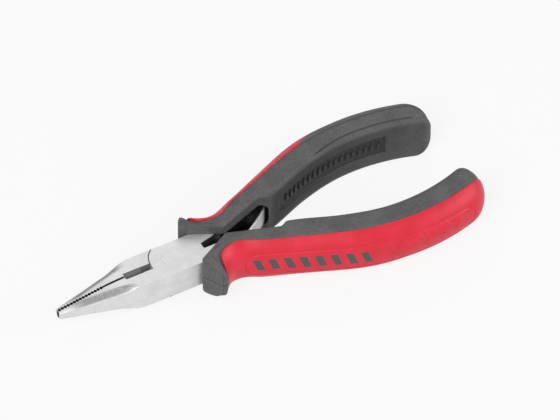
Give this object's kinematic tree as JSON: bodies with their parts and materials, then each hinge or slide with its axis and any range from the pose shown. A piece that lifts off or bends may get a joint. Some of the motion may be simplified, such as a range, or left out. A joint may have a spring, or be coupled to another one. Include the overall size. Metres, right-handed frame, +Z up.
{
  "type": "needle nose pliers",
  "caption": "Small needle nose pliers with a lap joint, serrated long jaws, wire cutter, leaf return spring and curved two-colour soft grips with finger guards",
  "frame": {"origin": "under the middle of the tool, on the plane that the grips lie on", "axes": "+X along the symmetry line from jaws to handles, +Y towards the front half's handle, +Z up along the pivot"},
  "size_m": [0.115, 0.0464, 0.0136],
  "materials": {
    "steel": "satin ground",
    "spring_steel": "bright rolled strip",
    "grey_grip": "fine moulded matt",
    "red_grip": "soft satin"
  },
  "bodies": {
    "rear": {"rear_half": "steel", "pivot_rivet": "steel", "return_spring": "spring_steel", "spring_rivet": "spring_steel", "rear_grip": "grey_grip", "rear_inlay": "red_grip"},
    "front": {"front_half": "steel", "front_grip": "grey_grip", "front_inlay": "red_grip"}
  },
  "joints": [
    {"name": "jaw_hinge", "type": "hinge", "parent": "rear", "child": "front", "pos_m": [-0.02455, 0, 0.0068], "axis": [0, 0, 1], "range_deg": [0, 28], "stiffness_Nm_per_rad": 0.05, "springref_deg": 24.06}
  ]
}
